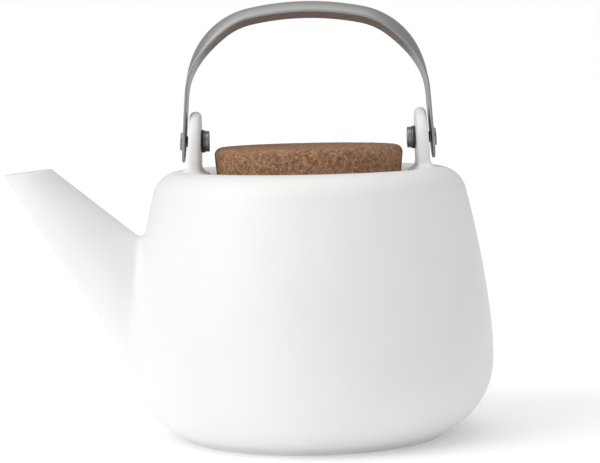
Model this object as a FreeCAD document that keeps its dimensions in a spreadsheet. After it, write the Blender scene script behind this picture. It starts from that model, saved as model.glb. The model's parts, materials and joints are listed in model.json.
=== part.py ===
import FreeCAD, Part
import math
import os

import Sketcher

V = FreeCAD.Vector

# Driving sizes in millimetres and degrees. Each becomes one named cell of the sheet.
SIZES = {
    # porcelain pot
    "foot_radius": 55.0, "foot_bore": 48.5, "foot_rise": 1.6, "foot_recess": 3.0,
    "belly_radius": 76.2, "belly_height": 32.0, "belly_curve": 33.0,
    "flank_low_curve": 170.0, "flank_split": 52.0, "flank_high_curve": 400.0,
    "flank_height": 103.0, "shoulder_curve": 12.0, "pot_wall": 4.0,
    "dish_curve": 18.0, "dish_angle": 20.0, "land_width": 2.5,
    # spout
    "mouth_height": 113.0, "mouth_reach": 30.8, "mouth_length": 22.3, "mouth_width": 19.3,
    "mouth_tilt": 6.4, "spout_low_angle": 32.5, "spout_top_angle": 51.0, "spout_spread": 0.166,
    "spout_foot": 25.0, "lip_wall": 1.7, "spout_wall": 3.2, "lip_round": 0.7, "spout_fillet": 2.0,
    # lugs and hinge
    "lug_inset": 9.058, "lug_thickness": 5.1, "lug_width": 25.0, "lug_out_lean": 3.0,
    "lug_in_lean": 1.5, "lug_round": 2.1, "lug_fillet": 3.4, "pivot_rise": 12.242,
    # bush, washers, screw and nut of each hinge
    "sleeve_radius": 2.3, "sleeve_proud": 1.1, "shank_radius": 1.5, "pin_clearance": 0.05,
    "washer_radius": 4.8, "rubber_thick": 0.8, "steel_thick": 0.6, "nut_radius": 4.4,
    "nut_thick": 1.8, "nut_cover": 0.7, "head_radius": 3.75, "head_thick": 1.2, "edge_break": 0.3,
    # handle strip
    "strip_thick": 1.05, "strip_width": 17.4, "strip_gap": 0.3, "leg_splay": 3.8,
    "crown_angle": 12.0, "bend_curve": 33.0, "bend_angle": 66.0,
    "side_curve": 40.0, "grip_height": 58.4, "grip_sagitta": 4.9, "handle_lean": 8.0,
    # infuser
    "flange_radius": 38.6, "flange_thick": 1.0, "flange_depth": 1.2, "infuser_radius": 34.4,
    "infuser_wall": 0.6, "infuser_bottom": 36.0, "base_thick": 0.6, "slot_width": 1.4,
    "slot_foot": 6.5, "slot_gap": 4.0,
    "slot_top": 5.61, "base_hole": 2.2,
    # cork lid
    "lid_top_radius": 39.6, "lid_low_radius": 38.7, "lid_thick": 12.4, "lid_round": 3.2,
    "plug_depth": 12.0, "plug_taper": 0.5,
    # room between pieces
    "slip": 0.3, "rest_gap": 0.05, "opening_slack": 0.5,
}
COUNTS = {"slot_columns": 24, "slot_rows": 5, "base_rings": 4}
LEAST_SAG = 0.02  # mm: a flatter section of the strip is drawn with straight lines
ROUND_SHARE = 0.45  # of a wall, the most that a rounding on each of its faces takes
OVERCUT = 2.0  # mm: how far a cut runs past the face it opens


class Dim:
    """A number and the sheet expression that gives it."""

    def __init__(self, value, text):
        self.value = float(value)
        self.text = text

    def pair(self, other, sign, result):
        return Dim(result, f"({self.text} {sign} {as_dim(other).text})")

    def __add__(self, other):
        return self.pair(other, "+", self.value + as_dim(other).value)

    def __sub__(self, other):
        return self.pair(other, "-", self.value - as_dim(other).value)

    def __mul__(self, other):
        return self.pair(other, "*", self.value * as_dim(other).value)

    def __truediv__(self, other):
        return self.pair(other, "/", self.value / as_dim(other).value)

    def __neg__(self):
        return Dim(0, "0") - self


ZERO = Dim(0, "0")


def as_dim(item):
    return item if isinstance(item, Dim) else Dim(item, repr(float(item)))


def root(item):
    return Dim(math.sqrt(item.value), f"sqrt({item.text})")


def sine(item):
    return Dim(math.sin(math.radians(item.value)), f"sin({item.text})")


def lesser(first, second):
    return Dim(min(first.value, second.value), f"min({first.text}; {second.text})")


def cosine(item):
    return Dim(math.cos(math.radians(item.value)), f"cos({item.text})")


def tangent(item):
    return Dim(math.tan(math.radians(item.value)), f"tan({item.text})")


doc = FreeCAD.newDocument("teapot")
sheet = doc.addObject("Spreadsheet::Sheet", "Sizes")


def fill_sheet():
    """One row for each driving size: its name, its value and the value's alias."""
    row = 1
    for name, value in {**SIZES, **COUNTS}.items():
        sheet.set(f"A{row}", name)
        sheet.set(f"B{row}", str(value))
        sheet.setAlias(f"B{row}", name)
        row += 1
    doc.recompute()


def size(name):
    return Dim({**SIZES, **COUNTS}[name], f"Sizes.{name}")


def new_body(label):
    body = doc.addObject("PartDesign::Body", label)
    body.Label = label
    return body


def plane_of(body, role):
    return [f for f in body.Origin.OriginFeatures if f.Role == role][0]


def new_sketch(body, name, role, lift=None, tilt=None):
    """A sketch on an origin plane of its own body, lifted along that plane's normal."""
    sketch = body.newObject("Sketcher::SketchObject", name)
    sketch.AttachmentSupport = [(plane_of(body, role), "")]
    sketch.MapMode = "FlatFace"
    if tilt is not None:
        turn = FreeCAD.Rotation(V(0, -1, 0), tilt.value)
        sketch.AttachmentOffset = FreeCAD.Placement(V(0, 0, 0), turn)
        sketch.setExpression("AttachmentOffset.Rotation.Angle", tilt.text)
    if lift is not None:
        sketch.setExpression("AttachmentOffset.Base.z", lift.text)
    return sketch


def tie(sketch, constraint, dim):
    """Add a dimension to a sketch and bind it to the sheet."""
    index = sketch.addConstraint(constraint)
    sketch.setExpression(f"Constraints[{index}]", dim.text)


def pin_point(sketch, edge, end, x, y):
    """Hold a point at (x, y) from the sketch's origin, on an axis where a value is zero."""
    if x is ZERO:
        sketch.addConstraint(Sketcher.Constraint("PointOnObject", edge, end, -2))
    else:
        tie(sketch, Sketcher.Constraint("DistanceX", -1, 1, edge, end, x.value), x)
    if y is ZERO:
        sketch.addConstraint(Sketcher.Constraint("PointOnObject", edge, end, -1))
    else:
        tie(sketch, Sketcher.Constraint("DistanceY", -1, 1, edge, end, y.value), y)


def arc_edge(start, end, radius, bulge_left):
    """Circular edge of a radius from start to end, bulging to the left or right of its chord."""
    half = (end - start).multiply(0.5)
    height = math.sqrt(max(radius * radius - half.Length ** 2, 0.0))
    side = V(-half.y, half.x, 0).normalize()
    sign = 1.0 if bulge_left else -1.0
    centre = start + half - side * (sign * height)
    middle = centre + side * (sign * radius)
    return Part.Arc(start, middle, end)


def outline(sketch, corners):
    """Closed outline through corners of (x, y), or (x, y, radius, bulge_left) for an arc.

    A half circle gives the height of its centre too, which holds it in place of its radius.
    """
    points = [V(as_dim(corner[0]).value, as_dim(corner[1]).value, 0) for corner in corners]
    count, base = len(corners), sketch.GeometryCount
    for index, corner in enumerate(corners):
        here, there = points[index], points[(index + 1) % count]
        edge = Part.LineSegment(here, there)
        if len(corner) > 2:
            edge = arc_edge(here, there, corner[2].value, corner[3])
        sketch.addGeometry(edge, False)
    ends = [arc_ends(sketch, base + index, points[index]) for index in range(count)]
    for index, corner in enumerate(corners):
        after = (index + 1) % count
        join = ("Coincident", base + index, ends[index][1], base + after, ends[after][0])
        sketch.addConstraint(Sketcher.Constraint(*join))
        pin_point(sketch, base + index, ends[index][0], as_dim(corner[0]), as_dim(corner[1]))
        if len(corner) == 4:
            limit = Sketcher.Constraint("Radius", base + index, corner[2].value)
            tie(sketch, limit, corner[2])
        if len(corner) == 5:
            level = Sketcher.Constraint("DistanceY", -1, 1, base + index, 3, corner[4].value)
            tie(sketch, level, corner[4])


def arc_ends(sketch, index, start):
    """Numbers of the first and last point of an edge, which an arc may hold in reverse."""
    first = sketch.getPoint(index, 1)
    return (1, 2) if first.distanceToPoint(start) < 1e-6 else (2, 1)


def circle(sketch, x, y, radius):
    centre = V(x.value, y.value, 0)
    index = sketch.addGeometry(Part.Circle(centre, V(0, 0, 1), radius.value), False)
    pin_point(sketch, index, 3, x, y)
    tie(sketch, Sketcher.Constraint("Radius", index, radius.value), radius)


def feature(body, kind, name, sketch, **settings):
    item = body.newObject(kind, name)
    item.Profile = sketch
    for key, value in settings.items():
        if isinstance(value, Dim):
            item.setExpression(key, value.text)
        else:
            setattr(item, key, value)
    doc.recompute()
    return item


def revolve(body, name, corners, kind="PartDesign::Revolution"):
    """Turn an outline of (radius, height) corners about the upright axis."""
    sketch = new_sketch(body, name + "_outline", "XZ_Plane")
    outline(sketch, corners)
    return feature(body, kind, name, sketch, ReferenceAxis=(sketch, ["V_Axis"]), Angle=360.0)


def lathe_piece(label, corners):
    body = new_body(label)
    revolve(body, label + "_turned", corners)
    return body


def fillet(body, base, name, radius, keep):
    """Round the edges of a feature that a test picks out, and fail if it picks none."""
    edges = [f"Edge{i + 1}" for i, edge in enumerate(base.Shape.Edges) if keep(edge)]
    if not edges:
        raise RuntimeError("no edges for " + name)
    item = body.newObject("PartDesign::Fillet", name)
    item.Base = (base, edges)
    item.Refine = False
    item.setExpression("Radius", radius.text)
    doc.recompute()
    return item


def box_of(edge):
    box = edge.BoundBox
    return box.XMin, box.XMax, box.YMin, box.YMax, box.ZMin, box.ZMax


# ---- the pot's turned outline: tangent arcs, each centre worked out from the one before ----

def flank_chain(shift):
    """Tangent arcs of the pot's side, moved in by shift: points, centres and angles."""
    low = size("flank_low_curve")
    high = size("flank_high_curve")
    belly = size("belly_radius")
    rise = size("belly_height")
    sin_low = (size("flank_split") - rise) / low
    cos_low = root(as_dim(1) - sin_low * sin_low)
    low_centre = belly - low
    high_x = low_centre + (low - high) * cos_low
    high_z = rise + (low - high) * sin_low
    sin_high = (size("flank_height") - high_z) / high
    cos_high = root(as_dim(1) - sin_high * sin_high)
    curve = size("shoulder_curve")
    crest_x = high_x + (high - curve) * cos_high
    crest_z = high_z + (high - curve) * sin_high
    split = (low_centre + (low - shift) * cos_low, rise + (low - shift) * sin_low)
    shoulder = (high_x + (high - shift) * cos_high, high_z + (high - shift) * sin_high)
    return {"low": low - shift, "high": high - shift, "curve": curve - shift,
            "split": split, "shoulder": shoulder, "crest": (crest_x, crest_z + curve - shift)}


def belly_point(height, shift):
    """Radius of the lower belly arc, moved in by shift, at a height."""
    curve = size("belly_curve")
    drop = size("belly_height") - height
    return size("belly_radius") - curve + root((curve - shift) * (curve - shift) - drop * drop)


def crest():
    return flank_chain(ZERO)["crest"]


def dish_edge():
    """Point where the rounded crest runs into the straight dish."""
    top_x, top_z = crest()
    curve, angle = size("dish_curve"), size("dish_angle")
    return top_x - curve * sine(angle), top_z - curve * (as_dim(1) - cosine(angle))


def seat_radius():
    return size("flange_radius") + size("slip")


def land_radius():
    return seat_radius() + size("land_width")


def land_height():
    """Height of the flat land round the lid: the dish runs down to it at half its edge angle."""
    edge_x, edge_z = dish_edge()
    return edge_z - (edge_x - land_radius()) * tangent(size("dish_angle") * 0.75)


def seat_height():
    return land_height() - size("flange_depth")


def opening_radius():
    return size("infuser_radius") + size("slip") + size("opening_slack")


def outer_corners():
    chain = flank_chain(ZERO)
    rise, recess = size("foot_rise"), size("foot_recess")
    foot, bore = size("foot_radius"), size("foot_bore")
    edge_x, edge_z = dish_edge()
    seat, land = seat_radius(), land_radius()
    return [
        (ZERO, recess), (bore - recess * 0.5, recess), (bore, ZERO), (foot, ZERO), (foot, rise),
        (belly_point(rise, ZERO), rise, size("belly_curve"), False),
        (size("belly_radius"), size("belly_height"), chain["low"], False),
        (chain["split"][0], chain["split"][1], chain["high"], False),
        (chain["shoulder"][0], chain["shoulder"][1], chain["curve"], False),
        (chain["crest"][0], chain["crest"][1], size("dish_curve"), False),
        (edge_x, edge_z), (land, land_height()), (seat, land_height()), (seat, seat_height()),
        (ZERO, seat_height()),
    ]


def inner_corners():
    wall = size("pot_wall")
    chain = flank_chain(wall)
    floor = size("foot_recess") + wall
    opening = opening_radius()
    ceiling = seat_height() - wall * 0.75
    return [
        (ZERO, floor), (belly_point(floor, wall), floor, size("belly_curve") - wall, False),
        (size("belly_radius") - wall, size("belly_height"), chain["low"], False),
        (chain["split"][0], chain["split"][1], chain["high"], False),
        (chain["shoulder"][0], chain["shoulder"][1], chain["curve"], False),
        (chain["crest"][0], chain["crest"][1]), (opening + wall, ceiling), (opening, ceiling),
        (opening, seat_height() + OVERCUT), (ZERO, seat_height() + OVERCUT),
    ]


# ---- spout: a leaning cone between two oval sections ----

def mouth_back():
    return size("belly_radius") + size("mouth_reach")


def spout_oval(body, name, height, wall_x, wall_y, tilt=None):
    """Oval section of the spout at a height, drawn in by wall_x and wall_y."""
    drop = size("mouth_height") - height
    front = mouth_back() + size("mouth_length") - drop * tangent(size("spout_low_angle"))
    back = mouth_back() - drop * tangent(size("spout_top_angle"))
    half_x = (front - back) * 0.5 - wall_x
    half_y = size("mouth_width") * 0.5 + drop * size("spout_spread") - wall_y
    centre = -(front + back) * 0.5
    sketch = new_sketch(body, name, "XY_Plane", lift=height, tilt=tilt)
    oval = Part.Ellipse(V(half_x.value, 0, 0), V(0, half_y.value, 0), V(0, 0, 0))
    if half_y.value > half_x.value:
        oval = Part.Ellipse(V(0, half_y.value, 0), V(-half_x.value, 0, 0), V(0, 0, 0))
    index = sketch.addGeometry(oval, False)
    pin_point(sketch, index, 3, ZERO, ZERO)
    sketch.exposeInternalGeometry(index)
    long_axis, short_axis = index + 1, index + 2
    across = (half_x, half_y) if half_x.value >= half_y.value else (half_y, half_x)
    level = long_axis if half_x.value >= half_y.value else short_axis
    sketch.addConstraint(Sketcher.Constraint("Horizontal", level))
    tie(sketch, Sketcher.Constraint("Distance", long_axis, 2 * across[0].value), across[0] * 2)
    tie(sketch, Sketcher.Constraint("Distance", short_axis, 2 * across[1].value), across[1] * 2)
    sketch.setExpression("AttachmentOffset.Base.x", centre.text)
    return sketch


def loft(body, kind, name, first, second):
    item = body.newObject(kind, name)
    item.Profile = first
    item.Sections = [second]
    item.Ruled = True
    doc.recompute()
    return item


def add_spout(body):
    mouth = spout_oval(body, "spout_mouth", size("mouth_height"), ZERO, ZERO, size("mouth_tilt"))
    foot = spout_oval(body, "spout_foot_section", size("spout_foot"), ZERO, ZERO)
    return loft(body, "PartDesign::AdditiveLoft", "spout_cone", mouth, foot)


def cut_channel(body):
    above = size("mouth_height") + OVERCUT
    low_wall = size("spout_wall") / cosine(size("spout_low_angle"))
    deep = size("spout_foot") + size("pot_wall")
    top = spout_oval(body, "channel_top", above, size("lip_wall"), size("lip_wall"))
    low = spout_oval(body, "channel_foot", deep, low_wall, size("spout_wall"))
    return loft(body, "PartDesign::SubtractiveLoft", "spout_channel", top, low)


# ---- lugs: they stand a set distance inside the crest, and the hinge a set height above it ----

def lug_inside():
    return crest()[0] - size("lug_inset")


def pivot_height():
    return crest()[1] + size("pivot_rise")


def lug_height():
    return pivot_height() + size("lug_width") * 0.5


def lug_rim_round():
    """Rounding of an ear's edges, which leaves its thin top a flat between them."""
    thinning = tangent(size("lug_out_lean")) - tangent(size("lug_in_lean"))
    top_thick = size("lug_thickness") - size("lug_width") * 0.5 * thinning
    return lesser(size("lug_round"), top_thick * ROUND_SHARE)


def lug_corners(side):
    """Front view of an ear on one side, 1 or -1: it leans in a little and thins upwards."""
    inside, thick, pivot = lug_inside(), size("lug_thickness"), pivot_height()
    top, low = lug_height(), crest()[1] - size("pot_wall") * 0.6
    out_lean, in_lean = tangent(size("lug_out_lean")), tangent(size("lug_in_lean"))
    corners = [
        (inside + (pivot - low) * in_lean, low),
        (inside + thick + (pivot - low) * out_lean, low),
        (inside + thick - (top - pivot) * out_lean, top),
        (inside - (top - pivot) * in_lean, top),
    ]
    return [(x * side, z) for x, z in corners]


def add_lugs(body):
    sketch = new_sketch(body, "lug_outlines", "XZ_Plane")
    for side in (1, -1):
        outline(sketch, lug_corners(side))
    return feature(body, "PartDesign::Pad", "lugs", sketch, Midplane=True,
                   Length=size("lug_width"))


def round_lug_tops(body):
    """Cut both ears back to a half circle about the hinge axis."""
    half, pivot = size("lug_width") * 0.5, pivot_height()
    top = lug_height() + OVERCUT
    side = half + OVERCUT
    sketch = new_sketch(body, "lug_top_outline", "YZ_Plane")
    outline(sketch, [
        (half, pivot, half, False, pivot), (-half, pivot),
        (-side, pivot), (-side, top), (side, top), (side, pivot),
    ])
    return feature(body, "PartDesign::Pocket", "lug_tops", sketch, Type=1, Midplane=True)


def bore_lugs(body):
    sketch = new_sketch(body, "lug_hole_outline", "YZ_Plane")
    circle(sketch, ZERO, pivot_height(), size("sleeve_radius") + size("pin_clearance"))
    return feature(body, "PartDesign::Pocket", "lug_holes", sketch, Type=1, Midplane=True)


def on_lug_rim(edge):
    """Outline edges of both faces of an ear, but not its flat foot or the seams of its top."""
    x_min, x_max, y_min, y_max, z_min, z_max = box_of(edge)
    return x_max - x_min < SIZES["lug_thickness"] * 0.5 and z_max - z_min > 1.0


def on_lug_root(edge):
    """Edges where an ear meets the shoulder."""
    x_min, x_max, y_min, y_max, z_min, z_max = box_of(edge)
    crest_x, crest_z = crest()[0].value, crest()[1].value
    beside = min(abs(x_min), abs(x_max)) > lug_inside().value - SIZES["lug_round"]
    near = beside and max(abs(x_min), abs(x_max)) < SIZES["belly_radius"]
    low = z_min > crest_z - SIZES["pot_wall"] and z_max < crest_z + 1.0
    return near and low and max(abs(y_min), abs(y_max)) < SIZES["lug_width"] * 0.5 + 0.5


def on_spout_root(edge):
    """Edges where the spout meets the side of the pot."""
    x_min, x_max, y_min, y_max, z_min, z_max = box_of(edge)
    beside = -SIZES["belly_radius"] - 1 < x_min and x_max < -land_radius().value
    return beside and z_min + 0.1 < z_max < SIZES["flank_height"]


def on_mouth(edge):
    """Both edges of the spout's open end."""
    box = edge.BoundBox
    low = SIZES["mouth_height"] - SIZES["mouth_length"] * 0.3
    return box.ZMin > low and box.XMax < -SIZES["belly_radius"]


def make_lug_blanks():
    """Both ears as a body of their own, rounded before they join the pot."""
    body = new_body("lug_blanks")
    body.AllowCompound = True
    add_lugs(body)
    tops = round_lug_tops(body)
    fillet(body, tops, "lug_rims", lug_rim_round(), on_lug_rim)
    return body


def join(body, name, other):
    item = body.newObject("PartDesign::Boolean", name)
    item.setObjects([other])
    item.Type = "Fuse"
    item.Refine = False
    doc.recompute()
    return item


def make_pot():
    blanks = make_lug_blanks()
    body = new_body("pot_body")
    revolve(body, "pot_form", outer_corners())
    spout = add_spout(body)
    fillet(body, spout, "spout_blend", size("spout_fillet"), on_spout_root)
    joined = join(body, "lugs_joined", blanks)
    fillet(body, joined, "lug_roots", size("lug_fillet"), on_lug_root)
    revolve(body, "tea_space", inner_corners(), "PartDesign::Groove")
    channel = cut_channel(body)
    fillet(body, channel, "spout_lip", size("lip_round"), on_mouth)
    bore_lugs(body)
    return body


# ---- hinge hardware, made on the right side and turned about the upright axis for the left ----

def disc_x(body, name, start, thick, radius, bore=None):
    """Round piece along X from start, with an optional bore."""
    sketch = new_sketch(body, name, "YZ_Plane", lift=start)
    circle(sketch, ZERO, ZERO, radius)
    if bore is not None:
        circle(sketch, ZERO, ZERO, bore)
    return feature(body, "PartDesign::Pad", name + "_pad", sketch, Length=thick)


def place_on_hinge(body, side, lean):
    """Move a piece to the hinge axis, turned half round for the left ear."""
    turn = FreeCAD.Rotation(V(0, 0, 1), 180.0 if side == "left" else 0.0)
    tip = FreeCAD.Rotation(V(1, 0, 0), -SIZES["handle_lean"] if lean else 0.0)
    body.Placement = FreeCAD.Placement(V(0, 0, pivot_height().value), tip.multiply(turn))
    body.setExpression("Placement.Base.z", pivot_height().text)


def lug_face():
    return lug_inside() + size("lug_thickness")


def strip_inside():
    """Inner face of the handle strip at the hinge."""
    return lug_face() + size("sleeve_proud") + size("strip_gap")


def bore_of_pin():
    return size("shank_radius") + size("pin_clearance")


def make_sleeve(side):
    body = new_body(side + "_sleeve")
    start = lug_inside() + size("rest_gap")
    length = lug_face() + size("sleeve_proud") - start
    disc_x(body, side + "_sleeve_tube", start, length, size("sleeve_radius"), bore_of_pin())
    place_on_hinge(body, side, False)


def washer_start():
    """Washers start clear of the leaning inner face of the ear."""
    lean = tangent(size("lug_in_lean")) * size("washer_radius")
    return lug_inside() - lean - size("rest_gap")


def make_washer(side, kind, start, thick, lean):
    body = new_body(f"{side}_{kind}_washer")
    name = f"{side}_{kind}_disc"
    pad = disc_x(body, name, start, thick, size("washer_radius"), bore_of_pin())
    fillet(body, pad, name + "_edge", size("edge_break") * 0.7,
           lambda edge: edge.Length > 2 * math.pi * SIZES["washer_radius"] * 0.9)
    place_on_hinge(body, side, lean)


def nut_end():
    used = size("rubber_thick") + size("steel_thick") + size("rest_gap") * 2
    return washer_start() - used - size("nut_thick")


def make_nut(side):
    """Round cap nut, blind, on the inner end of the screw."""
    body = new_body(side + "_cap_nut")
    pad = disc_x(body, side + "_nut_disc", nut_end(), size("nut_thick"), size("nut_radius"))
    sketch = new_sketch(body, side + "_nut_bore", "YZ_Plane",
                        lift=nut_end() + size("nut_thick") + OVERCUT)
    circle(sketch, ZERO, ZERO, size("shank_radius") + size("pin_clearance") * 0.5)
    depth = size("nut_thick") - size("nut_cover") + OVERCUT
    pocket = feature(body, "PartDesign::Pocket", side + "_nut_hole", sketch, Length=depth)
    if pocket.Shape.Volume > pad.Shape.Volume - 1.0:
        raise RuntimeError("nut bore cuts nothing")
    fillet(body, pocket, side + "_nut_edge", size("edge_break"),
           lambda edge: edge.Length > 2 * math.pi * SIZES["nut_radius"] * 0.9)
    place_on_hinge(body, side, True)


def make_screw(side):
    """Flat round head seated on the splayed strip, and a shank along the hinge axis."""
    body = new_body(side + "_pivot_screw")
    start = nut_end() + size("nut_cover") + size("rest_gap")
    outside = strip_inside() + size("strip_thick") / cosine(size("leg_splay"))
    disc_x(body, side + "_shank", start, outside - start + size("head_thick") * 0.5,
           size("shank_radius"))
    sketch = new_sketch(body, side + "_head", "YZ_Plane")
    head_out = outside + size("rest_gap") * 0.4
    turn = FreeCAD.Rotation(V(-1, 0, 0), SIZES["leg_splay"])
    sketch.AttachmentOffset = FreeCAD.Placement(V(0, 0, head_out.value), turn)
    sketch.setExpression("AttachmentOffset.Base.z", head_out.text)
    sketch.setExpression("AttachmentOffset.Rotation.Angle", "Sizes.leg_splay")
    circle(sketch, ZERO, ZERO, size("head_radius"))
    head = feature(body, "PartDesign::Pad", side + "_head_pad", sketch, Length=size("head_thick"))
    fillet(body, head, side + "_head_edge", size("edge_break"),
           lambda edge: edge.Length > 2 * math.pi * SIZES["head_radius"] * 0.9)
    place_on_hinge(body, side, True)


# ---- handle strip: sections of a bent strip lofted along an arch ----

def cell(name):
    """A size read back from the sheet."""
    return float(sheet.get(name))


def run_of(radius, start, end):
    """How far across and down an arc goes between two slopes, in degrees from level."""
    across = math.sin(math.radians(end)) - math.sin(math.radians(start))
    down = math.cos(math.radians(start)) - math.cos(math.radians(end))
    return radius * across, radius * down


def arch_arcs():
    """Arcs of the handle's outer line; the crown's radius is what lets the legs meet the hinge."""
    first, second, last = cell("crown_angle"), cell("bend_angle"), 90.0 - cell("leg_splay")
    splay = math.tan(math.radians(cell("leg_splay")))
    corner = run_of(cell("bend_curve"), first, second)
    flank = run_of(cell("side_curve"), second, last)
    unit = run_of(1.0, 0.0, first)
    half_width = strip_inside().value + cell("strip_thick") / math.cos(math.radians(cell("leg_splay")))
    height = cell("grip_height")
    rest = half_width - corner[0] - flank[0] - (height - corner[1] - flank[1]) * splay
    crown = rest / (unit[0] - unit[1] * splay)
    return [(crown, 0.0, first), (cell("bend_curve"), first, second),
            (cell("side_curve"), second, last)]


def arch_line(per_arc, per_leg):
    """Right half of the handle's outer line from the crown down: points of (x, z, slope)."""
    x, z, line = 0.0, cell("grip_height"), [(0.0, cell("grip_height"), 0.0)]
    for radius, start, end in arch_arcs():
        for step in range(1, per_arc + 1):
            slope = start + (end - start) * step / per_arc
            across, down = run_of(radius, start, slope)
            line.append((x + across, z - down, slope))
        x, z = line[-1][0], line[-1][1]
    drop = z + cell("strip_width") * 0.5 + 1.0
    splay = math.tan(math.radians(cell("leg_splay")))
    for step in range(1, per_leg + 1):
        down = drop * step / per_leg
        line.append((x + down * splay, z - down, 90.0 - cell("leg_splay")))
    return line


def gutter_share(slope, z):
    """How much of the grip's hollow a section has: all on the crown, none on the legs."""
    fade_end = cell("strip_width") * 1.1
    if slope < cell("bend_angle") * 0.5:
        return 1.0
    top = cell("grip_height") * 0.85
    part = min(max((z - fade_end) / (top - fade_end), 0.0), 1.0)
    return part * part * (3.0 - 2.0 * part)


def strip_section(x, z, slope):
    """Closed section of the strip: outer arc, edge, inner arc, edge, hollow towards the inside."""
    thick, half = cell("strip_thick"), cell("strip_width") * 0.5
    sag = cell("grip_sagitta") * gutter_share(slope, z)
    out = V(math.sin(math.radians(slope)), 0, math.cos(math.radians(slope)))
    foot = V(x, 0, z)
    across = V(0, 1, 0)

    def spot(side, depth):
        return foot + across * (side * half) - out * depth

    def bowed(side, depth):
        ends = spot(side, sag + depth), spot(-side, sag + depth)
        if sag < LEAST_SAG:
            return Part.LineSegment(*ends).toShape()
        return Part.Arc(ends[0], spot(0, depth), ends[1]).toShape()

    outer, inner = bowed(-1, 0.0), bowed(1, thick)
    edge_a = Part.LineSegment(spot(1, sag), spot(1, sag + thick)).toShape()
    edge_b = Part.LineSegment(spot(-1, sag + thick), spot(-1, sag)).toShape()
    return Part.Wire([outer, edge_a, inner, edge_b])


def strip_ends(reach):
    """What is cut from the leg ends so that each is a half circle about the hinge axis."""
    half = cell("strip_width") * 0.5
    block = Part.makeBox(2 * reach, 2 * reach, reach, V(-reach, -reach, -reach))
    round_end = Part.makeCylinder(half, 2 * reach, V(-reach, 0, 0), V(1, 0, 0))
    return block.cut(round_end)


def make_handle():
    """Bent strip: one half lofted through its sections and mirrored, with round ends and pin holes."""
    half = Part.makeLoft([strip_section(*station) for station in arch_line(6, 4)], True, True)
    blank = half.fuse(half.mirror(V(0, 0, 0), V(1, 0, 0)))
    reach = cell("grip_height") * 2
    hole = Part.makeCylinder(bore_of_pin().value, 2 * reach, V(-reach, 0, 0), V(1, 0, 0))
    handle = doc.addObject("Part::Feature", "handle_strip")
    handle.Label = "handle_strip"
    handle.Shape = blank.cut([strip_ends(reach), hole])
    tip = FreeCAD.Rotation(V(1, 0, 0), -cell("handle_lean"))
    handle.Placement = FreeCAD.Placement(V(0, 0, pivot_height().value), tip)
    return handle


# ---- infuser and lid ----

def flange_top():
    return seat_height() + size("rest_gap") + size("flange_thick")


def make_rim():
    inner, outer = size("infuser_radius"), size("flange_radius")
    low = seat_height() + size("rest_gap")
    body = lathe_piece("infuser_rim", [(inner, low), (outer, low), (outer, flange_top()),
                                       (inner, flange_top())])
    fillet(body, body.Tip, "rim_edge", size("edge_break"),
           lambda edge: edge.Length > 2 * math.pi * SIZES["flange_radius"] * 0.9)


def slot_column(body):
    """One upright column of slots through the infuser's wall."""
    sketch = new_sketch(body, "slot_outline", "YZ_Plane", lift=size("infuser_radius") + OVERCUT)
    half, rows = size("slot_width") * 0.5, COUNTS["slot_rows"]
    start = size("infuser_bottom") + size("slot_foot")
    room = flange_top() - size("slot_top") - start
    length = (room - size("slot_gap") * (rows - 1)) / rows
    for row in range(rows):
        low = start + (length + size("slot_gap")) * row
        high = low + length
        outline(sketch, [(-half, low), (half, low), (half, high), (-half, high)])
    return feature(body, "PartDesign::Pocket", "slot_cut", sketch,
                   Length=size("infuser_wall") + 2 * OVERCUT)


def pattern(body, name, cut, count):
    """Repeat a cut evenly about the upright axis."""
    item = body.newObject("PartDesign::PolarPattern", name)
    item.Originals = [cut]
    axis = [f for f in body.Origin.OriginFeatures if f.Role == "Z_Axis"][0]
    item.Axis = (axis, [""])
    item.Angle = 360.0
    item.Occurrences = COUNTS[count]
    item.setExpression("Occurrences", "Sizes." + count)
    body.Tip = item
    doc.recompute()
    return item


def make_infuser_wall():
    outer = size("infuser_radius")
    inner = outer - size("infuser_wall")
    body = lathe_piece("infuser_wall", [(inner, size("infuser_bottom")),
                                        (outer, size("infuser_bottom")),
                                        (outer, flange_top()), (inner, flange_top())])
    plain = body.Shape.Volume
    cut = slot_column(body)
    pattern(body, "slots", cut, "slot_columns")
    if body.Shape.Volume > plain * 0.95:
        raise RuntimeError("infuser slots cut nothing")


def make_infuser_base():
    """Flat perforated floor inside the foot of the wall: rings of holes, six more in each."""
    body = new_body("infuser_base")
    sketch = new_sketch(body, "base_outline", "XY_Plane", lift=size("infuser_bottom"))
    radius = size("infuser_radius") - size("infuser_wall")
    circle(sketch, ZERO, ZERO, radius)
    rings = COUNTS["base_rings"]
    for ring in range(1, rings + 1):
        spread = radius * (ring / (rings + 1.0))
        for hole in range(6 * ring):
            turn = 360.0 * hole / (6 * ring) + 7.0
            circle(sketch, spread * math.cos(math.radians(turn)),
                   spread * math.sin(math.radians(turn)), size("base_hole") * 0.5)
    feature(body, "PartDesign::Pad", "base_disc", sketch, Length=size("base_thick"))


def make_lid():
    """Cork disc, wider at its top and rounded there, with a plug turned down into the infuser."""
    low = flange_top() + size("rest_gap")
    top = low + size("lid_thick")
    plug = size("infuser_radius") - size("infuser_wall") - size("slip")
    bottom = low - size("plug_depth")
    lathe_piece("cork_lid", [
        (ZERO, bottom), (plug - size("plug_taper"), bottom), (plug, low),
        (size("lid_low_radius"), low),
        (size("lid_top_radius"), top - size("lid_round"), size("lid_round"), False),
        (size("lid_top_radius") - size("lid_round"), top), (ZERO, top),
    ])


def build():
    fill_sheet()
    make_pot()
    for side in ("left", "right"):
        make_sleeve(side)
        start = washer_start() - size("rubber_thick")
        make_washer(side, "rubber", start, size("rubber_thick"), False)
        start = start - size("rest_gap") - size("steel_thick")
        make_washer(side, "steel", start, size("steel_thick"), True)
        make_nut(side)
        make_screw(side)
    make_handle()
    make_rim()
    make_infuser_wall()
    make_infuser_base()
    make_lid()
    doc.recompute()


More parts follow.
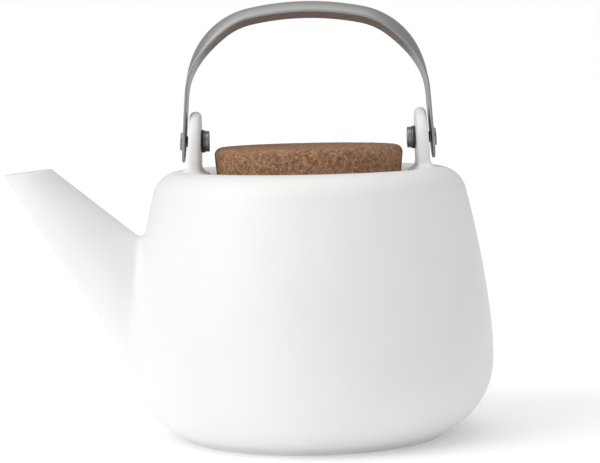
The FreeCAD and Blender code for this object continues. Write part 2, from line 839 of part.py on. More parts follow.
def pieces():
    """The finished sub-parts: every body but the blanks joined into the pot, and the handle."""
    bodies = [item for item in doc.Objects if item.TypeId == "PartDesign::Body"]
    finished = [body for body in bodies if body.Label != "lug_blanks"]
    return finished + [doc.getObject("handle_strip")]


def check():
    """Refuse a document with a failed object or a sub-part that is not one sound solid."""
    for item in doc.Objects:
        if "Invalid" in item.State or "Error" in item.State:
            raise RuntimeError(f"{item.Name} failed: {item.State}")
    for piece in pieces():
        shape = piece.Shape
        if shape.isNull() or not shape.isValid() or len(shape.Solids) != 1:
            raise RuntimeError(f"{piece.Label} is not one valid solid")


def export():
    os.makedirs("parts", exist_ok=True)
    for piece in pieces():
        piece.Shape.exportStep(f"parts/{piece.Label}.step")
        box = piece.Shape.optimalBoundingBox()
        print(f"{piece.Label}: {piece.Shape.Volume:.0f} mm3, "
              f"x {box.XMin:.1f}..{box.XMax:.1f}, y {box.YMin:.1f}..{box.YMax:.1f}, "
              f"z {box.ZMin:.1f}..{box.ZMax:.1f}")


build()
check()
export()
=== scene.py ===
import json
import math

import bmesh
import bpy
import numpy as np
from mathutils import Euler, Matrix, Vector


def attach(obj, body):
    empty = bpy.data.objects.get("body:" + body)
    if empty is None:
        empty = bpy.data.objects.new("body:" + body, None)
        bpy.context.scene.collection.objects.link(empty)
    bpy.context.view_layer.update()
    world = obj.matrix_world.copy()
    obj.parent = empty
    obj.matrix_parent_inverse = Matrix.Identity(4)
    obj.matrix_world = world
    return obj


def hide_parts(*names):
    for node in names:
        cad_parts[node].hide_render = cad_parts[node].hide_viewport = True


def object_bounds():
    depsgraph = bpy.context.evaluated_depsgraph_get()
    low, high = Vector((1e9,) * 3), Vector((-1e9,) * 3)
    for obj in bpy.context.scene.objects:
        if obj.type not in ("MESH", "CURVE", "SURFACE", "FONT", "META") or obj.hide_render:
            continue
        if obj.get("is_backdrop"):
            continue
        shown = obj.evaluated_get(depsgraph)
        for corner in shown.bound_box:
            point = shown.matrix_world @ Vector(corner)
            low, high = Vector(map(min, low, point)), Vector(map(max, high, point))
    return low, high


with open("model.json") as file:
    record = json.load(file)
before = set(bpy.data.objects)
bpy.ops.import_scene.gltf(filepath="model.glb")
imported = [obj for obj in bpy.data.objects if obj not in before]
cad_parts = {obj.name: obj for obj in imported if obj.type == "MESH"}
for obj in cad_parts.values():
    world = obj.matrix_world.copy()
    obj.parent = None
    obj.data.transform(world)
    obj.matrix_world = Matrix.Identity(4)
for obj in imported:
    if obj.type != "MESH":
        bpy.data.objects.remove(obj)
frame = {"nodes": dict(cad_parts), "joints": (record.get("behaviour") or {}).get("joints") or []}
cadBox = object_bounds()
hingeHeight = [j for j in frame["joints"] if j["name"] == "handle_swing"][0]["pos_m"][2] * 1000
print("frame loaded, hinge at", round(hingeHeight, 2), "mm")


# small tools, all lengths in millimetres

def rad(degrees):
    return math.radians(degrees)


def easeCurve(t):
    # smooth step: 3t^2 - 2t^3 between 0 and 1
    t = np.clip(t, 0, 1)
    return t * t * (3 - 2 * t)


def arcRun(start, end, radius, steps):
    # circular arc from start to end that bulges to the right of the way it runs
    # centre = middle of the chord + its left normal * root(radius^2 - half chord^2)
    start, end = np.array(start, float), np.array(end, float)
    way = end - start
    left = np.array([-way[1], way[0]]) / np.hypot(*way)
    centre = (start + end) / 2 + left * math.sqrt(radius ** 2 - way @ way / 4)
    first = math.atan2(*(start - centre)[::-1])
    turn = (math.atan2(*(end - centre)[::-1]) - first) % (2 * math.pi)
    angles = first + turn * np.linspace(0, 1, steps + 1)[1:]
    return centre + radius * np.stack([np.cos(angles), np.sin(angles)], 1)


def lineRun(start, end, steps):
    t = np.linspace(0, 1, steps + 1)[1:, None]
    return np.array(start, float) * (1 - t) + np.array(end, float) * t


def softCorners(corners, steps=4):
    # polyline of (a, b, radius) corners
    # each corner is a quadratic curve from radius before it to radius after it
    points = np.array([c[:2] for c in corners], float)
    made = [points[:1]]
    for i in range(1, len(corners) - 1):
        size = corners[i][2]
        back, on = points[i - 1] - points[i], points[i + 1] - points[i]
        before = points[i] + back / np.hypot(*back) * size
        after = points[i] + on / np.hypot(*on) * size
        t = np.linspace(0, 1, steps + 1)[:, None]
        bend = (1 - t) ** 2 * before + 2 * t * (1 - t) * points[i] + t ** 2 * after
        made.append(bend if size > 0 else points[i:i + 1])
    made.append(points[-1:])
    return np.concatenate(made)


def lengthAlong(points):
    return np.concatenate([[0], np.cumsum(np.linalg.norm(np.diff(points, axis=0), axis=1))])


def resample(points, places):
    # points read off a polyline at given lengths along it
    along = lengthAlong(points)
    return np.stack([np.interp(places, along, points[:, i]) for i in range(points.shape[1])], 1)


def refine(points, spacing):
    # adds points so that no step of the polyline is longer than spacing
    made = [points[:1]]
    for a, b in zip(points[:-1], points[1:]):
        made.append(lineRun(a, b, max(1, math.ceil(np.hypot(*(b - a)) / spacing))))
    return np.concatenate(made)


def gridFaces(rows, cols, closed):
    # quads of a grid whose points are numbered row by row; closed joins the last column to the first
    i, j = np.meshgrid(np.arange(rows - 1), np.arange(cols if closed else cols - 1), indexing="ij")
    nextCol = (j + 1) % cols
    quads = np.stack([i * cols + j, i * cols + nextCol, (i + 1) * cols + nextCol, (i + 1) * cols + j], -1)
    return quads.reshape(-1, 4)


def gather(parts):
    # one list of points and faces from several (points, faces)
    points, faces, start = [], [], 0
    for p, f in parts:
        points.append(p)
        faces.append(f + start)
        start += len(p)
    return np.concatenate(points), np.concatenate(faces)


def turned(profile, columns, skip=()):
    # a profile of (radius, height) turned about the upright axis: x = r cos a, y = r sin a
    # skip holds (first row, last row, first column, last column) of openings
    angles = np.arange(columns) * 2 * math.pi / columns
    r, z = profile[:, 0, None], profile[:, 1, None]
    points = np.stack([r * np.cos(angles), r * np.sin(angles), z + 0 * angles], -1)
    faces = gridFaces(len(profile), columns, True)
    row, col = faces[:, 0] // columns, faces[:, 0] % columns
    keep = np.ones(len(faces), bool)
    for r0, r1, c0, c1 in skip:
        keep &= ~((row >= r0) & (row < r1) & (col >= c0) & (col < c1))
    return points.reshape(-1, 3), faces[keep]


def makePiece(name, points, faces, body, nodes, slot, material, sharp=40, uv=None, flip=False):
    # points in mm go into a mesh in metres; doubles and poles are merged
    mesh = bpy.data.meshes.new(name)
    faces = np.asarray(faces)[:, ::-1] if flip else np.asarray(faces)
    mesh.vertices.add(len(points))
    mesh.vertices.foreach_set("co", (np.asarray(points) * 0.001).astype(np.float32).ravel())
    mesh.loops.add(faces.size)
    mesh.loops.foreach_set("vertex_index", faces.astype(np.int32).ravel())
    mesh.polygons.add(len(faces))
    mesh.polygons.foreach_set("loop_start", np.arange(0, faces.size, faces.shape[1], dtype=np.int32))
    mesh.update(calc_edges=True)
    if uv is not None:
        layer = mesh.uv_layers.new(name="UVMap")
        layer.data.foreach_set("uv", np.asarray(uv)[faces.ravel()].astype(np.float32).ravel())
    work = bmesh.new()
    work.from_mesh(mesh)
    bmesh.ops.remove_doubles(work, verts=work.verts, dist=2e-6)
    bmesh.ops.dissolve_degenerate(work, edges=work.edges, dist=1e-7)
    loose = [v for v in work.verts if not v.link_faces]
    bmesh.ops.delete(work, geom=loose, context="VERTS")
    work.to_mesh(mesh)
    work.free()
    mesh.polygons.foreach_set("use_smooth", np.ones(len(mesh.polygons), bool))
    mesh.set_sharp_from_angle(angle=rad(sharp))
    mesh.materials.append(material)
    piece = bpy.data.objects.new(name, mesh)
    bpy.context.scene.collection.objects.link(piece)
    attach(piece, body)
    if nodes:
        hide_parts(*nodes)
    print("made", name, len(mesh.polygons), "faces")
    return piece


def latticeValue(cells):
    # a fixed pseudo-random value from 0 to 1 for each whole-number cell
    mixed = np.sin(cells @ np.array([127.1, 311.7, 74.7])) * 43758.5453
    return mixed - np.floor(mixed)


def cloudNoise(points, size):
    # value noise: lattice values blended with a smooth step along each axis
    place = points / size
    base = np.floor(place)
    part = easeCurve(place - base)
    total = np.zeros(len(points))
    for corner in np.ndindex(2, 2, 2):
        weight = np.prod(np.where(np.array(corner) == 1, part, 1 - part), axis=1)
        total += weight * latticeValue(base + np.array(corner))
    return total


def grainDistance(points, size):
    # distance to the nearest seed of a jittered lattice, and that seed's own value
    place = points / size
    base = np.floor(place)
    nearest, value = np.full(len(points), 9.0), np.zeros(len(points))
    for step in np.ndindex(3, 3, 3):
        cell = base + np.array(step) - 1
        seed = cell + np.stack([latticeValue(cell + k) for k in (17.0, 51.0, 93.0)], 1)
        gap = np.linalg.norm(place - seed, axis=1)
        closer = gap < nearest
        nearest = np.where(closer, gap, nearest)
        value = np.where(closer, latticeValue(cell + 7.0), value)
    return nearest, value


# shader wiring

class Signal:
    # a shader socket that adds Math nodes when it is used in an expression
    def __init__(self, tree, socket=None):
        self.tree, self.socket = tree, socket

    def node(self, kind, settings=None, sockets=None, output=0):
        made = self.tree.nodes.new(kind)
        for key, value in (settings or {}).items():
            if key == "stops":
                ramp = made.color_ramp.elements
                while len(ramp) < len(value):
                    ramp.new(0.5)
                for stop, (place, colour) in zip(ramp, value):
                    stop.position, stop.color = place, (*colour, 1)
            else:
                setattr(made, key, value)
        for key, value in (sockets or {}).items():
            if isinstance(value, Signal):
                self.tree.links.new(value.socket, made.inputs[key])
            else:
                made.inputs[key].default_value = value
        return Signal(self.tree, made.outputs[output] if made.outputs else None)

    def math(self, operation, first, second=0.0):
        return self.node("ShaderNodeMath", {"operation": operation}, {0: first, 1: second})

    def __add__(self, other):
        return self.math("ADD", self, other)

    __radd__ = __add__

    def __sub__(self, other):
        return self.math("SUBTRACT", self, other)

    def __rsub__(self, other):
        return self.math("SUBTRACT", other, self)

    def __mul__(self, other):
        return self.math("MULTIPLY", self, other)

    __rmul__ = __mul__

    def __pow__(self, other):
        return self.math("POWER", self, other)

    def noise(self, place, scale, detail=3.0, roughness=0.5):
        sockets = {"Vector": place, "Scale": scale, "Detail": detail, "Roughness": roughness}
        return self.node("ShaderNodeTexNoise", {}, sockets)

    def cells(self, place, scale, feature="F1", output="Color"):
        sockets = {"Vector": place, "Scale": scale}
        return self.node("ShaderNodeTexVoronoi", {"feature": feature}, sockets, output)

    def band(self, low, high):
        # 0 below low, 1 above high, smooth between
        sockets = {"Value": self, "From Min": low, "From Max": high}
        return self.node("ShaderNodeMapRange", {"interpolation_type": "SMOOTHSTEP"}, sockets)

    def blend(self, amount, first, second):
        return self.node("ShaderNodeMix", {"data_type": "RGBA"}, {0: amount, 6: first, 7: second}, 2)


def startMaterial(name, source="Object"):
    material = bpy.data.materials.new(name)
    material.use_nodes = True
    material.node_tree.nodes.clear()
    tree = Signal(material.node_tree)
    return material, tree, tree.node("ShaderNodeTexCoord", {}, {}, source)


def endMaterial(tree, sockets, height, strength, distance):
    normal = tree.node("ShaderNodeBump", {}, {"Strength": strength, "Distance": distance, "Height": height})
    surface = tree.node("ShaderNodeBsdfPrincipled", {}, {**sockets, "Normal": normal})
    tree.node("ShaderNodeOutputMaterial", {}, {"Surface": surface})


glaze = {
    "white": (0.82, 0.82, 0.817, 1), "warm": (0.79, 0.788, 0.782, 1),
    "roughness": 0.42, "coat": 0.12, "coatRoughness": 0.25,
}


def makePorcelain():
    # satin glaze: slow tone drift, faint thickness ripples and sparse pinholes
    material, tree, place = startMaterial("satinGlaze")
    drift = tree.noise(place, 14, 2)
    ripple = tree.noise(place, 90, 3)
    grain = tree.noise(place, 2600, 2)
    pinholes = tree.cells(place, 420, "F1", "Distance").band(0.05, 0.12)
    colour = tree.blend(drift.band(0.35, 0.7), glaze["white"], glaze["warm"])
    rough = glaze["roughness"] + ripple * 0.08 - drift * 0.04
    height = ripple * 0.6 + grain * 0.12 + pinholes * 0.15
    endMaterial(tree, {
        "Base Color": colour, "Roughness": rough, "Coat Weight": glaze["coat"],
        "Coat Roughness": glaze["coatRoughness"], "IOR": 1.5,
    }, height, 0.25, 0.00008)
    return material


corkLook = {
    "dark": (0.10, 0.046, 0.024), "brown": (0.26, 0.130, 0.068), "tan": (0.41, 0.225, 0.122),
    "pale": (0.56, 0.35, 0.20), "pit": (0.05, 0.026, 0.015, 1), "granules": 900, "crumbs": 2300,
}


def makeCork():
    # pressed granules: each cell has its own brown, dark gaps between, pits and pale flecks
    material, tree, place = startMaterial("pressedCork")
    drift = tree.node("ShaderNodeTexNoise", {}, {"Vector": place, "Scale": 340.0}, 1)
    warp = tree.node("ShaderNodeMix", {"data_type": "VECTOR"}, {0: 0.0022, 4: place, 5: drift}, 1)
    big = tree.cells(warp, corkLook["granules"])
    small = tree.cells(warp, corkLook["crumbs"])
    bigTone = tree.node("ShaderNodeSeparateColor", {}, {"Color": big}, 0)
    smallTone = tree.node("ShaderNodeSeparateColor", {}, {"Color": small}, 1)
    fine = tree.noise(place, 2600, 4, 0.65)
    tone = bigTone * 0.45 + smallTone * 0.3 + fine * 0.25
    stops = [(0.02, corkLook["dark"]), (0.34, corkLook["brown"]),
             (0.64, corkLook["tan"]), (0.98, corkLook["pale"])]
    colour = tree.node("ShaderNodeValToRGB", {"stops": stops}, {"Fac": tone})
    gap = tree.cells(warp, corkLook["granules"], "DISTANCE_TO_EDGE", "Distance").band(0.0, 0.07)
    pits = tree.noise(place, 1100, 3, 0.6).band(0.30, 0.36)
    colour = tree.blend((1 - gap) * 0.3, colour, (*corkLook["dark"], 1))
    colour = tree.blend((1 - pits) * 0.6, colour, corkLook["pit"])
    height = gap * 0.5 + pits * 0.8 + fine * 0.5 + smallTone * 0.15
    sockets = {"Base Color": colour, "Roughness": 0.78 + fine * 0.15, "IOR": 1.4}
    endMaterial(tree, sockets, height, 0.8, 0.00035)
    return material


stripLook = {"dark": (0.30, 0.30, 0.30, 1), "light": (0.44, 0.44, 0.435, 1), "roughness": 0.38}


def makeBrushedStrip():
    # brushed along the strip: noise stretched far along u, close across v
    material, tree, place = startMaterial("brushedStrip", "UV")
    long = tree.node("ShaderNodeMapping", {}, {"Vector": place, "Scale": (14.0, 3800.0, 1.0)})
    longer = tree.node("ShaderNodeMapping", {}, {"Vector": place, "Scale": (3.0, 900.0, 1.0)})
    hairs = tree.noise(long, 1.0, 3, 0.6)
    streaks = tree.noise(longer, 1.0, 2, 0.5)
    cloud = tree.noise(place, 35, 2)
    colour = tree.blend(hairs * 0.55 + streaks * 0.45, stripLook["dark"], stripLook["light"])
    rough = stripLook["roughness"] + hairs * 0.12 + cloud * 0.06
    height = hairs * 0.7 + streaks * 0.3
    endMaterial(tree, {"Base Color": colour, "Metallic": 1.0, "Roughness": rough}, height, 0.35, 0.00003)
    return material


def makeTurnedSteel(name, dark, light, roughness):
    # turned face: fine rings round the hinge axis, broken by noise
    material, tree, place = startMaterial(name)
    y = tree.node("ShaderNodeSeparateXYZ", {}, {"Vector": place}, 1)
    z = tree.node("ShaderNodeSeparateXYZ", {}, {"Vector": place}, 2) - hingeHeight * 0.001
    radius = (y * y + z * z) ** 0.5
    rings = tree.math("SINE", radius * 26000) * 0.5 + 0.5
    rough = tree.noise(place, 900, 3)
    speck = tree.noise(place, 5200, 2)
    colour = tree.blend(rings * 0.35 + rough * 0.65, dark, light)
    sockets = {"Base Color": colour, "Metallic": 1.0, "Roughness": roughness + rough * 0.12}
    endMaterial(tree, sockets, rings * 0.4 + speck * 0.6, 0.3, 0.00003)
    return material


def makeSheetSteel():
    # satin sheet: fine vertical grain and faint water marks
    material, tree, place = startMaterial("satinSheet")
    stretched = tree.node("ShaderNodeMapping", {}, {"Vector": place, "Scale": (3200.0, 3200.0, 120.0)})
    grain = tree.noise(stretched, 1.0, 3, 0.6)
    marks = tree.noise(place, 60, 3)
    colour = tree.blend(grain * 0.5 + marks * 0.5, (0.50, 0.50, 0.495, 1), (0.66, 0.66, 0.65, 1))
    sockets = {"Base Color": colour, "Metallic": 1.0, "Roughness": 0.28 + marks * 0.14}
    endMaterial(tree, sockets, grain, 0.25, 0.00003)
    return material


def makeBlack(name, colour, pale, roughness, grainSize):
    # moulded part: even fine grain and slightly greyer high spots
    material, tree, place = startMaterial(name)
    grain = tree.noise(place, grainSize, 4, 0.6)
    cloud = tree.noise(place, 500, 2)
    mixed = tree.blend(grain * 0.6 + cloud * 0.4, colour, pale)
    endMaterial(tree, {"Base Color": mixed, "Roughness": roughness + grain * 0.15}, grain, 0.4, 0.00006)
    return material


porcelain, cork, brushedStrip, sheetSteel = makePorcelain(), makeCork(), makeBrushedStrip(), makeSheetSteel()
hingeSteel = makeTurnedSteel("turnedSteel", (0.20, 0.20, 0.205, 1), (0.34, 0.34, 0.345, 1), 0.30)
blackNylon = makeBlack("blackNylon", (0.012, 0.012, 0.013, 1), (0.035, 0.035, 0.036, 1), 0.42, 3000)
softRubber = makeBlack("softRubber", (0.022, 0.022, 0.022, 1), (0.055, 0.055, 0.054, 1), 0.6, 4200)
print("materials made")


# pot: turned shell, leaning spout, two ears

pot = {
    "footRadius": 55.0, "footBore": 48.5, "footRise": 1.6, "recess": 3.0,
    "bellyRadius": 76.2, "bellyHeight": 32.0, "bellyCurve": 33.0,
    "lowCurve": 170.0, "split": 52.0, "highCurve": 400.0, "flankTop": 103.0,
    "shoulderCurve": 12.0, "dishCurve": 18.0, "dishAngle": 20.0, "wall": 4.0,
    "land": 41.4, "seat": 38.9, "seatDrop": 1.2, "opening": 35.2, "columns": 240,
    "baseSpacing": 9, "outerRows": (20, 26), "innerRows": (14, 10),
}
spout = {
    "mouthHeight": 113.0, "back": 107.0, "length": 22.3, "width": 19.3, "tilt": 6.4,
    "lowAngle": 32.5, "topAngle": 51.0, "spread": 0.166, "lipWall": 1.7, "lowWall": 3.2,
    "blendOutside": 5.0, "blendInside": 2.5, "lipSoft": 0.7, "overcut": 2.0, "innerSpan": 86.0,
    "searchAngles": 1441, "searchHeights": 1600, "searchTop": 3, "searchLow": 20,
    "crowding": 0.8, "blendPull": 0.6, "lipPull": 1.15, "blendRows": 10, "tubeRows": 22, "lipRows": 8,
    "holeLow": 14.0, "holeHigh": 99.0, "holeRows": 44, "holeColumns": 21,
}
ear = {
    "inside": 44.9, "thick": 5.1, "radius": 12.5, "outLean": 3.0, "inLean": 1.5,
    "round": 2.1, "flare": 3.4, "hole": 2.35, "bottom": 15.9,
    "columns": 144, "faceRows": 24, "rimRows": 13,
}


def flankChain(shift):
    # tangent arcs of the side
    # each centre lies on the line through the last centre and the joint between them
    p = pot
    sinLow = (p["split"] - p["bellyHeight"]) / p["lowCurve"]
    cosLow = math.sqrt(1 - sinLow ** 2)
    lowX = p["bellyRadius"] - p["lowCurve"]
    highX = lowX + (p["lowCurve"] - p["highCurve"]) * cosLow
    highZ = p["bellyHeight"] + (p["lowCurve"] - p["highCurve"]) * sinLow
    sinHigh = (p["flankTop"] - highZ) / p["highCurve"]
    cosHigh = math.sqrt(1 - sinHigh ** 2)
    inward = p["highCurve"] - p["shoulderCurve"]
    low, high = p["lowCurve"] - shift, p["highCurve"] - shift
    return {
        "low": low, "high": high, "curve": p["shoulderCurve"] - shift,
        "split": (lowX + low * cosLow, p["bellyHeight"] + low * sinLow),
        "shoulder": (highX + high * cosHigh, highZ + high * sinHigh),
        "crest": (highX + inward * cosHigh, highZ + inward * sinHigh + p["shoulderCurve"] - shift),
    }


def bellyPoint(height, shift):
    drop = pot["bellyHeight"] - height
    return pot["bellyRadius"] - pot["bellyCurve"] + math.sqrt((pot["bellyCurve"] - shift) ** 2 - drop ** 2)


def flankLine(low, shift):
    # fine polyline of the side from a height near the floor up to the crest
    chain = flankChain(shift)
    foot = (bellyPoint(low, shift), low)
    belly = (pot["bellyRadius"] - shift, pot["bellyHeight"])
    return np.concatenate([
        [foot], arcRun(foot, belly, pot["bellyCurve"] - shift, 240),
        arcRun(belly, chain["split"], chain["low"], 120),
        arcRun(chain["split"], chain["shoulder"], chain["high"], 300),
        arcRun(chain["shoulder"], chain["crest"], chain["curve"], 120),
    ])


def flankRows(line, below, above):
    # rows of the side: evenly below the spout's opening, a fixed count beside it, evenly above
    along = lengthAlong(line)
    low, high = np.interp([spout["holeLow"], spout["holeHigh"]], line[:, 1], along)
    places = np.concatenate([
        np.linspace(0, low, below + 1)[:-1],
        np.linspace(low, high, spout["holeRows"] + 1),
        np.linspace(high, along[-1], above + 1)[1:],
    ])
    return resample(line, places)


def spoutLine(angle, height, inner):
    # oval section at a height: x = -(centre + half length * cos angle), y = -half width * sin angle
    # both edges run straight, so every line of fixed angle is straight too
    drop = spout["mouthHeight"] - height
    front = spout["back"] + spout["length"] - drop * math.tan(rad(spout["lowAngle"]))
    back = spout["back"] - drop * math.tan(rad(spout["topAngle"]))
    share = np.clip((drop + spout["overcut"]) / spout["innerSpan"], 0, 1.3) if inner else 0
    lip, low = spout["lipWall"], spout["lowWall"]
    wallX = (lip + share * (low / math.cos(rad(spout["lowAngle"])) - lip)) if inner else 0
    wallY = (lip + share * (low - lip)) if inner else 0
    halfX = (front - back) / 2 - wallX
    halfY = spout["width"] / 2 + drop * spout["spread"] - wallY
    x = -((front + back) / 2 + halfX * np.cos(angle))
    return np.stack([x, -halfY * np.sin(angle), height + 0 * x], -1)


def mouthHeights(angle, inner):
    across = -spoutLine(angle, spout["mouthHeight"] + 0 * angle, inner)[..., 0]
    ahead = across - spout["back"] - spout["length"] / 2
    return spout["mouthHeight"] - ahead * math.tan(rad(spout["tilt"]))


def skinPoint(line, turn, along):
    # point of the turned side at an angle past the spout's side and a length along the side
    r, z = resample(line, np.ravel(along)).T
    a = math.pi + np.ravel(turn)
    return np.stack([r * np.cos(a), r * np.sin(a), z], -1).reshape(*np.shape(turn), 3)


def spoutRoot(line, inner, blend, rows, edge):
    # rings from the opening's square edge in the side, over a flat patch to the blend's foot,
    # then the blend: a cubic curve tangent to the side at its foot and to the spout at its top
    along = lengthAlong(line)
    span = pot["bellyRadius"]
    angle = np.linspace(-math.pi, math.pi, spout["searchAngles"])
    top, low = spout["mouthHeight"] - spout["searchTop"], spout["searchLow"]
    heights = np.linspace(top, low, spout["searchHeights"])
    tested = spoutLine(angle[:, None], heights[None, :] + 0 * angle[:, None], inner)
    outside = np.hypot(tested[..., 0], tested[..., 1]) - np.interp(heights, line[:, 1], line[:, 0])[None, :]
    first = np.argmax(outside <= 0, axis=1)
    pick = np.arange(len(angle))
    before, after = outside[pick, first - 1], outside[pick, first]
    meet = heights[first - 1] + (heights[first] - heights[first - 1]) * before / (before - after)
    hit = spoutLine(angle, meet, inner)
    flatP = (np.arctan2(hit[:, 1], hit[:, 0]) % (2 * math.pi) - math.pi) * span
    flatQ = np.interp(meet, line[:, 1], along)
    middle = (flatQ.max() + flatQ.min()) / 2
    heading = np.unwrap(np.arctan2(flatP, -(flatQ - middle)))
    edgeP, edgeQ = edge[:, 0] * span, edge[:, 1]
    wanted = np.arctan2(edgeP, -(edgeQ - middle))
    heading -= round(heading.mean() / (2 * math.pi)) * 2 * math.pi
    chosen = np.interp(wanted, heading, angle)
    meetAt = np.interp(chosen, angle, meet)
    slopeP, slopeQ = np.gradient(flatP), np.gradient(flatQ)
    size = np.hypot(slopeP, slopeQ)
    outP, outQ = np.interp(chosen, angle, slopeQ / size), np.interp(chosen, angle, -slopeP / size)
    footP = np.interp(chosen, angle, flatP) + outP * blend
    footQ = np.interp(chosen, angle, flatQ) + outQ * blend
    t = np.linspace(0, 1, rows + 1)[:, None] ** spout["crowding"]
    patch = skinPoint(line, (edgeP * (1 - t) + footP * t) / span, edgeQ * (1 - t) + footQ * t)
    foot = patch[-1]
    ahead = skinPoint(line, (footP - 0.2 * outP) / span, footQ - 0.2 * outQ)
    leave = (ahead - foot) / np.linalg.norm(ahead - foot, axis=1, keepdims=True)
    corner = spoutLine(chosen, meetAt, inner)
    up = spoutLine(chosen, meetAt + 1, inner) - corner
    up /= np.linalg.norm(up, axis=1, keepdims=True)
    top = corner + up * blend
    t = np.linspace(0, 1, spout["blendRows"] + 1)[1:, None, None]
    reach = spout["blendPull"] * blend
    bend = ((1 - t) ** 3 * foot + 3 * t * (1 - t) ** 2 * (foot + leave * reach)
            + 3 * t ** 2 * (1 - t) * (top - up * reach) + t ** 3 * top)
    end = mouthHeights(chosen, inner)
    end -= spout["lipSoft"] * up[:, 2]
    t = np.linspace(0, 1, spout["tubeRows"] + 1)[1:, None]
    tube = spoutLine(chosen, top[:, 2] * (1 - t) + end * t, inner)
    return np.concatenate([patch, bend, tube]), up


def openingEdge(line):
    # the opening's square edge, anticlockwise seen from outside, as (turn, length along the side)
    along = lengthAlong(line)
    low, high = np.interp([spout["holeLow"], spout["holeHigh"]], line[:, 1], along)
    step = 2 * math.pi / pot["columns"]
    turns = np.arange(-spout["holeColumns"], spout["holeColumns"] + 1) * step
    levels = np.linspace(low, high, spout["holeRows"] + 1)
    return np.concatenate([
        np.stack([turns[:-1], 0 * turns[:-1] + low], 1),
        np.stack([0 * levels[:-1] + turns[-1], levels[:-1]], 1),
        np.stack([turns[::-1][:-1], 0 * turns[:-1] + high], 1),
        np.stack([0 * levels[:-1] + turns[0], levels[::-1][:-1]], 1),
    ])


def makeShell():
    crestX, crestZ = flankChain(0)["crest"]
    bend = rad(pot["dishAngle"])
    dishX = crestX - pot["dishCurve"] * math.sin(bend)
    dishZ = crestZ - pot["dishCurve"] * (1 - math.cos(bend))
    landZ = dishZ - (dishX - pot["land"]) * math.tan(rad(pot["dishAngle"] * 0.75))
    seatZ = landZ - pot["seatDrop"]
    ceiling = seatZ - pot["wall"] * 0.75
    inner = flankChain(pot["wall"])
    floor = pot["recess"] + pot["wall"]
    outerLine, innerLine = flankLine(pot["footRise"], 0), flankLine(floor, pot["wall"])
    base = softCorners([
        (0, pot["recess"], 0), (pot["footBore"] - 1.5, pot["recess"], 1.2), (pot["footBore"], 0, 0.5),
        (pot["footRadius"], 0, 0.5), (pot["footRadius"], pot["footRise"], 0),
    ])
    outer = flankRows(outerLine, *pot["outerRows"])
    mouth = softCorners([
        (dishX, dishZ, 0), (pot["land"], landZ, 1.0), (pot["seat"], landZ, 0.5), (pot["seat"], seatZ, 0.3),
        (pot["opening"], seatZ, 0.5), (pot["opening"], ceiling, 0.6),
        (pot["opening"] + pot["wall"], ceiling, 0.8), inner["crest"] + (0,),
    ])
    dish = np.concatenate([arcRun((crestX, crestZ), (dishX, dishZ), pot["dishCurve"], 8), mouth[1:]])
    inside = flankRows(innerLine, *pot["innerRows"])[::-1]
    bottom = np.array([(bellyPoint(floor, pot["wall"]) * s, floor) for s in (0.75, 0.5, 0.25, 0.0)])
    base = refine(base, pot["baseSpacing"])[:-1]
    profile = np.concatenate([base, outer, dish[:-1], inside, bottom])
    startOut = len(base) + pot["outerRows"][0]
    startIn = len(base) + len(outer) + len(dish) - 1 + pot["innerRows"][1]
    centre = pot["columns"] // 2
    cols = (centre - spout["holeColumns"], centre + spout["holeColumns"])
    rows = spout["holeRows"]
    openings = [(start, start + rows, *cols) for start in (startOut, startIn)]
    body = turned(profile, pot["columns"], openings)
    outRings, upOut = spoutRoot(outerLine, False, spout["blendOutside"], 12, openingEdge(outerLine))
    inRings, upIn = spoutRoot(innerLine, True, spout["blendInside"], 8, openingEdge(innerLine))
    # lip: a cubic curve from the end of the outside over the edge to the end of the inside
    t = np.linspace(0, 1, spout["lipRows"] + 1)[1:-1, None, None]
    start, end, reach = outRings[-1], inRings[-1], spout["lipSoft"] * spout["lipPull"]
    lip = ((1 - t) ** 3 * start + 3 * t * (1 - t) ** 2 * (start + upOut * reach)
           + 3 * t ** 2 * (1 - t) * (end + upIn * reach) + t ** 3 * end)
    rings = np.concatenate([outRings, lip, inRings[::-1]])
    tube = (rings.reshape(-1, 3), gridFaces(len(rings), rings.shape[1], True))
    return [body, tube], (crestX, crestZ, dishX, dishZ, landZ)


def shoulderHeight(r, marks):
    # height of the top of the pot under a point at radius r
    crestX, crestZ, dishX, dishZ, landZ = marks
    dish = crestZ - pot["dishCurve"] + np.sqrt(np.maximum(pot["dishCurve"] ** 2 - (crestX - r) ** 2, 0))
    slope = dishZ + (r - dishX) * (dishZ - landZ) / (dishX - pot["land"])
    curve = pot["shoulderCurve"]
    outer = crestZ - curve + np.sqrt(np.maximum(curve ** 2 - np.maximum(r - crestX, 0) ** 2, 0))
    height = np.where(r > crestX, outer, np.where(r > dishX, dish, slope))
    return np.maximum(height, landZ)


